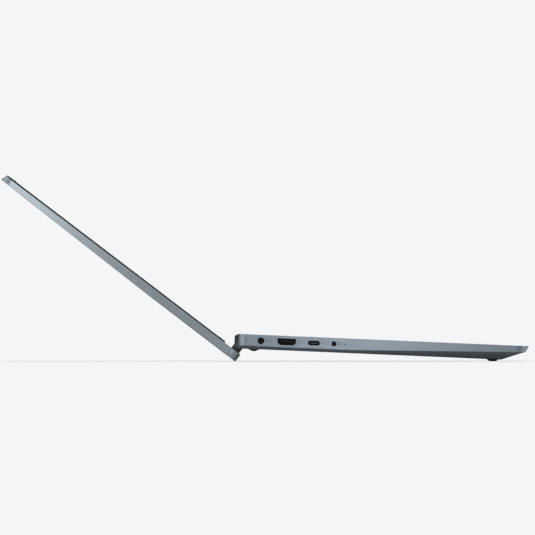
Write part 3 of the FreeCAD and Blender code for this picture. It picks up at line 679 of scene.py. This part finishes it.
def capHeight(x, y, low, high, dish):
    # top - dish * (1 - (x / half width)^2) * (1 - (y / half depth)^2), measured inside the crest
    crest = keyLook["ease"][-1][0] * mm
    half = (high - low)[:2] / 2 - crest
    middle = (high + low)[:2] / 2
    across = np.clip(((x - middle[0]) / half[0]) ** 2, 0, 1)
    along = np.clip(((y - middle[1]) / half[1]) ** 2, 0, 1)
    return high[2] - dish * (1 - across) * (1 - along)


def capShell(low, high, dish, radius=keyLook["cornerRadius"]):
    # Outer rings: the outline drawn in by inset, at a depth under the top. Inner rings: the crest shrunk
    # towards the middle, lying on the dish.
    half = (high - low)[:2] / 2
    middle = (high + low)[:2] / 2
    rings = []
    for inset, depth in keyLook["ease"]:
        outline = roundedOutline(*(half - inset * mm), radius - inset * mm / 2) + middle
        rings.append(np.column_stack([outline, np.full(len(outline), high[2] - depth * mm)]))
    for share in keyLook["shares"]:
        outline = (rings[len(keyLook["ease"]) - 1][:, :2] - middle) * share + middle
        rings.append(np.column_stack([outline, capHeight(*outline.T, low, high, dish)]))
    points, faces = closedShell(np.array(rings))
    points[-1, 2] = high[2] - dish
    return points, faces


def textShape(text):
    # The word as a closed solid, one unit high and one thick, before it is sized and laid on its key.
    curve = bpy.data.curves.new("label", "FONT")
    curve.body = text
    curve.resolution_u = 3
    curve.extrude = 0.5
    holder = bpy.data.objects.new("label", curve)
    mesh = bpy.data.meshes.new_from_object(holder)
    work = bmesh.new()
    work.from_mesh(mesh)
    bmesh.ops.remove_doubles(work, verts=work.verts, dist=0.0005)
    points = np.array([vert.co for vert in work.verts])
    faces = [[vert.index for vert in face.verts] for face in work.faces]
    work.free()
    bpy.data.objects.remove(holder)
    bpy.data.curves.remove(curve)
    bpy.data.meshes.remove(mesh)
    return points, faces


def arrowShape(degrees):
    # A flat triangle, one unit long, turned to its direction.
    corners = arc(0, 0, 1, degrees, degrees + 240, 2)
    return closedShell(np.stack([np.column_stack([corners, np.full(3, level)]) for level in (-0.5, 0.5)]))


def laidLegend(text, low, high, dish):
    look = legendLook
    if text in arrowTurns:
        points, faces = arrowShape(arrowTurns[text])
        size = look["arrow"]
        centre = (high + low)[:2] / 2
    else:
        points, faces = textShape(text)
        size = look["pair"] if "\n" in text else look["letter"] if len(text) == 1 else look["word"]
        corner = np.array([points[:, 0].min(), points[:, 1].max()]) * size
        centre = np.array([low[0] + look["edgeGap"], high[1] - look["edgeGap"]]) - corner
    place = points[:, :2] * size + centre
    level = capHeight(*place.T, low, high, dish)
    level = level + np.where(points[:, 2] > 0, look["proud"], -look["sink"])
    return np.column_stack([place, level]), faces


for row, legends in rowLegends.items():
    keys = keysOf(row)
    addPiece(row + "_caps", [capShell(low, high, keyLook["dish"]) for low, high in keys], row, "key_plastic",
             replaces=row, degrees=60)
    parts = [laidLegend(text, low, high, keyLook["dish"])
             for text, (low, high) in zip(legends.split(" "), keys)]
    addPiece(row + "_legends", parts, row, "key_plastic", finish="legendInk")
addPiece("space_bar_cap", [capShell(low, high, 0.0) for low, high in keysOf("space_bar")], "space_bar",
         "key_plastic", replaces="space_bar", degrees=60)
print("keys and legends ready")


# Power button: a pill with its ring-and-tick mark.

markLook = {
    "stroke": 0.22 * mm, "radius": 1.15 * mm, "tick": 0.75 * mm, "proud": 0.02 * mm, "sink": 0.02 * mm,
}
buttonLook = {"dish": 0.08 * mm, "cornerGap": 0.1 * mm}


def powerMark(centre, level, look):
    # An arc open at the top, and a tick standing in its gap.
    ring = arc(0, 0, look["radius"], 125, 415, 24) + centre
    tick = np.array([(0, 1.5 * look["tick"]), (0, 0.5 * look["tick"])]) + centre
    return [flatBand(path, look["stroke"], level - look["sink"], level + look["proud"], False)
            for path in (ring, tick)]


buttonLow, buttonHigh = benchBox("power_button")
pillRadius = (buttonHigh - buttonLow)[1] / 2 - buttonLook["cornerGap"]
pill = capShell(buttonLow, buttonHigh, buttonLook["dish"], pillRadius)
addPiece("power_button_cap", [pill], "power_button", "key_plastic", replaces="power_button", degrees=60)
buttonMiddle = (buttonLow + buttonHigh) / 2
markLevel = buttonHigh[2] - buttonLook["dish"]
addPiece("power_button_mark", powerMark(buttonMiddle[:2], markLevel, markLook), "power_button", "key_plastic",
         finish="legendInk")
print("power button ready")


# Side ports: dark mouths lining the openings, and what is seen inside.

portHeight = boxMiddle("charge_light")[2]     # the lights and the ports share one line
mouthLook = {"fit": 0.27 * mm, "from": 177.0 * mm, "to": 178.36 * mm}
sidePorts = {
    # socket node: (side, kind of opening, half width, half height), mm
    "power_jack": (-1, "round", 2.45, 2.45),
    "video_socket": (-1, "cut", 7.1, 2.4),
    "type_c_socket": (-1, "slot", 4.45, 1.6),
    "audio_jack": (-1, "round", 1.8, 1.8),
    "rear_type_a_socket": (1, "box", 6.55, 2.85),
    "front_type_a_socket": (1, "box", 6.55, 2.85),
    "card_reader": (1, "box", 12.3, 1.2),
}
cutCorner = (2.2 * mm, 1.9 * mm)      # along the port and up


def openingOutline(kind, halfY, halfZ, grow):
    # round, slot with round ends, box with its lower corners cut off, or plain box
    a, b = halfY + grow, halfZ + grow
    if kind == "round":
        return arc(0, 0, a, 0, 348.75, 31)
    if kind == "slot":
        return roundedOutline(a, b, 0.97 * b, 8)
    if kind == "cut":
        y, z = cutCorner
        return np.array([(-a, b), (a, b), (a, z - b), (a - y, -b), (y - a, -b), (-a, z - b)])
    return roundedOutline(a, b, 0.35 * mm)


def onWall(outline, side, distance, middle):
    # An outline in the plane of a side wall, at a distance from mid-width.
    return np.column_stack([np.full(len(outline), side * distance), outline[:, 0] + middle,
                            outline[:, 1] + portHeight])


def mouthRing(node, side, kind, halfY, halfZ):
    look = mouthLook
    middle = boxMiddle(node)[1]
    inner = openingOutline(kind, halfY * mm, halfZ * mm, 0.0)
    outer = openingOutline(kind, halfY * mm, halfZ * mm, look["fit"])
    corners = [(outer, "from"), (outer, "to"), (inner, "to"), (inner, "from")]
    sections = [onWall(outline, side, look[end], middle) for outline, end in corners]
    return closedLoop(np.stack(sections, 1))


for node, port in sidePorts.items():
    addPiece(node + "_mouth", [mouthRing(node, *port)], "base", "socket_shell")

contactRows = {
    # socket node: (count, pitch, strip width, tongue's height over the port's middle, sides with strips), mm
    "video_socket": (10, 1.08, 0.5, 0.5, (-1, 1)),
    "type_c_socket": (11, 0.5, 0.26, 0.0, (-1, 1)),
    "rear_type_a_socket": (4, 2.5, 1.0, 1.2, (-1,)),
    "front_type_a_socket": (4, 2.5, 1.0, 1.2, (-1,)),
}
stripLook = {
    # mm, the first three from mid-width
    "from": 170.6, "to": 175.5, "nose": 175.95,
    "noseDrop": -0.12, "tongueHalf": 0.35, "sunk": 0.03, "thick": 0.07,
}


def contactStrip(side, y, width, tongueZ, face):
    # A thin strip along the tongue whose nose bends round the tongue's end: sections along X.
    look = stripLook
    stations = [(look["from"], 0.0), (look["to"], 0.0), (look["nose"], look["noseDrop"])]
    rings = []
    for x, drop in stations:
        inner = tongueZ + face * (look["tongueHalf"] - look["sunk"] + drop)
        outer = tongueZ + face * (look["tongueHalf"] + look["thick"] + drop)
        rings.append([(side * x, y - width / 2, inner), (side * x, y + width / 2, inner),
                      (side * x, y + width / 2, outer), (side * x, y - width / 2, outer)])
    return closedShell(np.array(rings) * mm)


for node, (count, pitch, width, rise, stripFaces) in contactRows.items():
    side = sidePorts[node][0]
    middle = boxMiddle(node)[1] / mm
    places = (np.arange(count) - (count - 1) / 2) * pitch + middle
    strips = [contactStrip(side, y, width, portHeight / mm + rise, face)
              for y in places for face in stripFaces]
    addPiece(node + "_contacts", strips, "base", "socket_shell", finish="contactGold")


def turnedAlongX(profile, side, middle, steps=24):
    # Rings of radius r at distance x from mid-width: (x, r cos, r sin), closed at both ends.
    around = arc(0, 0, 1, 0, 360 - 360 / steps, steps - 1)
    rings = [onWall(around * radius * mm, side, x * mm, middle) for x, radius in profile]
    return closedShell(np.array(rings))


def sleeveAlongX(radiusIn, radiusOut, xFrom, xTo, side, middle, steps=24):
    # A short tube: the section's four corners carried round the circle.
    around = arc(0, 0, 1, 0, 360 - 360 / steps, steps - 1)
    corners = [(radiusOut, xFrom), (radiusOut, xTo), (radiusIn, xTo), (radiusIn, xFrom)]
    return closedLoop(np.stack([onWall(around * r * mm, side, x * mm, middle) for r, x in corners], 1))


jackLook = {
    # mm; a distance is from mid-width
    "pin": [(169.3, 0.62), (175.4, 0.62), (175.9, 0.5), (176.1, 0.25)],       # distance, radius
    "sleeve": (1.55, 1.85, 170.0, 176.4),                                     # radius in and out, from, to
    "audioRing": (1.42, 1.78, 176.2, 177.4),
    "tongueHalf": (3.42, 0.44), "tongueRadius": 0.2,
    "tongueStations": [(169.7, 1), (175.6, 1), (175.85, 0.93)],               # distance, share of full size
}
jackMiddle = boxMiddle("power_jack")[1]
audioMiddle = boxMiddle("audio_jack")[1]
typeCMiddle = boxMiddle("type_c_socket")[1]
addPiece("power_jack_pin", [turnedAlongX(jackLook["pin"], -1, jackMiddle)], "base", "socket_shell",
         finish="contactGold")
addPiece("power_jack_sleeve", [sleeveAlongX(*jackLook["sleeve"], -1, jackMiddle)], "base", "socket_shell",
         finish="jackSteel")
addPiece("audio_jack_ring", [sleeveAlongX(*jackLook["audioRing"], -1, audioMiddle)], "base", "socket_shell",
         finish="tongueGrey")
tongue = roundedOutline(*jackLook["tongueHalf"], jackLook["tongueRadius"]) * mm
tongueRings = [onWall(tongue * grow, -1, x * mm, typeCMiddle) for x, grow in jackLook["tongueStations"]]
addPiece("type_c_tongue", [closedShell(np.array(tongueRings))], "base", "socket_shell", finish="tongueGrey")
print("ports ready")


# Small printed signs beside the ports, generic drawings of thin strokes.

def signStrokes():
    # name: list of (closed, outline), in mm, right and up as seen from outside
    body = roundedOutline(0.75, 0.55, 0.25)
    cup = roundedOutline(0.28, 0.45, 0.15)
    return {
        "plug": [(True, body + (0.1, 0)), (False, [(0.85, 0.28), (1.45, 0.28)]),
                 (False, [(0.85, -0.28), (1.45, -0.28)]), (False, [(-0.65, 0), (-1.5, 0)])],
        "monitor": [(True, roundedOutline(1.5, 0.85, 0.15) + (0, 0.25)), (False, [(0, -0.6), (0, -1.05)]),
                    (False, [(-0.7, -1.05), (0.7, -1.05)])],
        "twoWay": [(False, [(-1.3, 0), (1.3, 0)]), (False, [(-0.75, 0.5), (-1.35, 0), (-0.75, -0.5)]),
                   (False, [(0.75, 0.5), (1.35, 0), (0.75, -0.5)])],
        "headphones": [(False, arc(0, -0.1, 0.95, 0, 180)), (True, cup + (0.95, -0.5)),
                       (True, cup + (-0.95, -0.5))],
        "card": [(True, np.array([(-0.9, 1.0), (-0.9, -1.0), (0.9, -1.0), (0.9, 0.4), (0.3, 1.0)])),
                 (False, [(-0.4, 0.6), (-0.4, 0.1)]), (False, [(0.1, 0.6), (0.1, 0.1)])],
    }


signLook = {"stroke": 0.24 * mm, "sink": 0.03 * mm, "proud": 0.015 * mm}
signPlaces = {
    # name: (side, sign, bench y in mm)
    "power_sign": (-1, "plug", -19.6),
    "video_sign": (-1, "monitor", -46.1),
    "type_c_sign": (-1, "twoWay", -64.2),
    "audio_sign": (-1, "headphones", -77.4),
    "rear_type_a_sign": (1, "twoWay", -40.9),
    "front_type_a_sign": (1, "twoWay", -60.9),
    "card_sign": (1, "card", -96.0),
}
strokes = signStrokes()


def onSideWall(part, side, y):
    # flat drawing (right, up, out) to the wall: x = side * (wall + out), y = place + side * right, z = up
    points, faces = part
    return np.column_stack([side * (cadHigh.x + points[:, 2]), y * mm + side * points[:, 0],
                            portHeight + points[:, 1]]), faces


for name, (side, sign, y) in signPlaces.items():
    look = signLook
    bands = [flatBand(np.asarray(path) * mm, look["stroke"], -look["sink"], look["proud"], closed)
             for closed, path in strokes[sign]]
    addPiece(name, [onSideWall(band, side, y) for band in bands], "base", "case_metal", finish="sideInk")
sideMarkLook = {
    "stroke": 0.2 * mm, "radius": 0.7 * mm, "tick": 0.5 * mm, "proud": 0.015 * mm, "sink": 0.02 * mm,
    "y": -86.1,
}
mark = powerMark(np.zeros(2), 0.0, sideMarkLook)
addPiece("status_sign", [onSideWall(band, -1, sideMarkLook["y"]) for band in mark], "base", "case_metal",
         finish="sideInk")
print("signs ready:", len(signPlaces) + 1)


# Screen: the dark active area on the panel, the camera's lens and ring, its lamp and the microphones.

screenLook = {
    "sideBorder": 5.7 * mm, "topBorder": 8.7 * mm, "chinBorder": 14.4 * mm,
    "dark": 1.7 * mm,           # unused margin of the panel inside the border
    "radius": 0.4 * mm, "proud": 0.03 * mm,
}
bezelLow, bezelHigh = benchBox("screen_bezel")
panelFace = benchBox("display_panel")[0][2]


def makeActiveArea():
    look = screenLook
    low = np.array([bezelLow[0] + look["sideBorder"], bezelLow[1] + look["topBorder"]]) + look["dark"]
    high = np.array([bezelHigh[0] - look["sideBorder"], bezelHigh[1] - look["chinBorder"]]) - look["dark"]
    outline = roundedOutline(*((high - low) / 2), look["radius"]) + (high + low) / 2
    rings = [np.column_stack([outline, np.full(len(outline), level)])
             for level in (panelFace + look["proud"], panelFace - look["proud"])]
    return closedShell(np.array(rings))


addPiece("active_area", [makeActiveArea()], "lid", "screen_face", finish="activeArea")

cameraLook = {
    # mm
    "y": -222.4,
    "lens": [(8.1, 1.15), (8.07, 1.1), (8.05, 0.8), (8.043, 0.35)],     # height, radius
    "ringIn": 1.62, "ringOut": 1.78,        # the ring stays clear of the shutter's slot
    "sunk": 0.1, "proud": 0.05,
    "lampX": -7.5, "lampRadius": 0.55,
    "micX": (-24.0, 24.0), "micRadius": 0.42,
}


def turnedUp(profile, x, y, steps=24):
    # Rings of radius r at height z: (x + r cos, y + r sin, z), closed at both ends.
    around = arc(0, 0, 1, 0, 360 - 360 / steps, steps - 1)
    rings = [np.column_stack([around * radius + (x, y), np.full(steps, z)]) for z, radius in profile]
    return closedShell(np.array(rings) * mm)


def cameraRing(look, face, steps=48):
    # The section's four corners carried round the lens.
    around = arc(0, 0, 1, 0, 360 - 360 / steps, steps - 1)
    corners = [(look["ringOut"], face + look["sunk"]), (look["ringOut"], face - look["proud"]),
               (look["ringIn"], face - look["proud"]), (look["ringIn"], face + look["sunk"])]
    rings = [np.column_stack([around * radius + (0, look["y"]), np.full(steps, z)]) for radius, z in corners]
    return closedLoop(np.stack(rings, 1) * mm)


bezelFace = bezelLow[2] / mm
cameraY = cameraLook["y"]
addPiece("camera_lens", [turnedUp(cameraLook["lens"], 0, cameraY)], "lid", "bezel_plastic",
         finish="lensGlass")
addPiece("camera_ring", [cameraRing(cameraLook, bezelFace)], "lid", "bezel_plastic", finish="tongueGrey")
dot = [(bezelFace + 0.1, 1.0), (bezelFace - 0.01, 1.0), (bezelFace - 0.03, 0.6)]     # height, share of radius
lampProfile = [(z, share * cameraLook["lampRadius"]) for z, share in dot]
micProfile = [(z, share * cameraLook["micRadius"]) for z, share in dot]
addPiece("camera_lamp", [turnedUp(lampProfile, cameraLook["lampX"], cameraY, 16)], "lid", "light_lens",
         finish="lensGlass")
# The microphones are black discs standing a little proud of the bezel: painted shade in place of their holes.
addPiece("microphone_pins", [turnedUp(micProfile, x, cameraY, 16) for x in cameraLook["micX"]], "lid",
         "bezel_plastic", finish="pinholeShade")
print("screen and camera ready")


# Bright turned edge round the touchpad's opening.

rimLook = {
    "gap": 0.42 * mm, "width": 0.28 * mm, "sink": 0.25 * mm, "proud": 0.012 * mm, "radius": 2.5 * mm,
}
padLow, padHigh = benchBox("touchpad")
deckTop = benchBox("top_case")[1][2]
rimHalf = (padHigh - padLow)[:2] / 2 + rimLook["gap"] + rimLook["width"] / 2
rimPath = roundedOutline(*rimHalf, rimLook["radius"], 8) + (padHigh + padLow)[:2] / 2
rimBand = flatBand(rimPath, rimLook["width"], deckTop - rimLook["sink"], deckTop + rimLook["proud"], True)
addPiece("touchpad_rim", [rimBand], "base", "case_metal", finish="brightEdge")
print("touchpad rim ready")
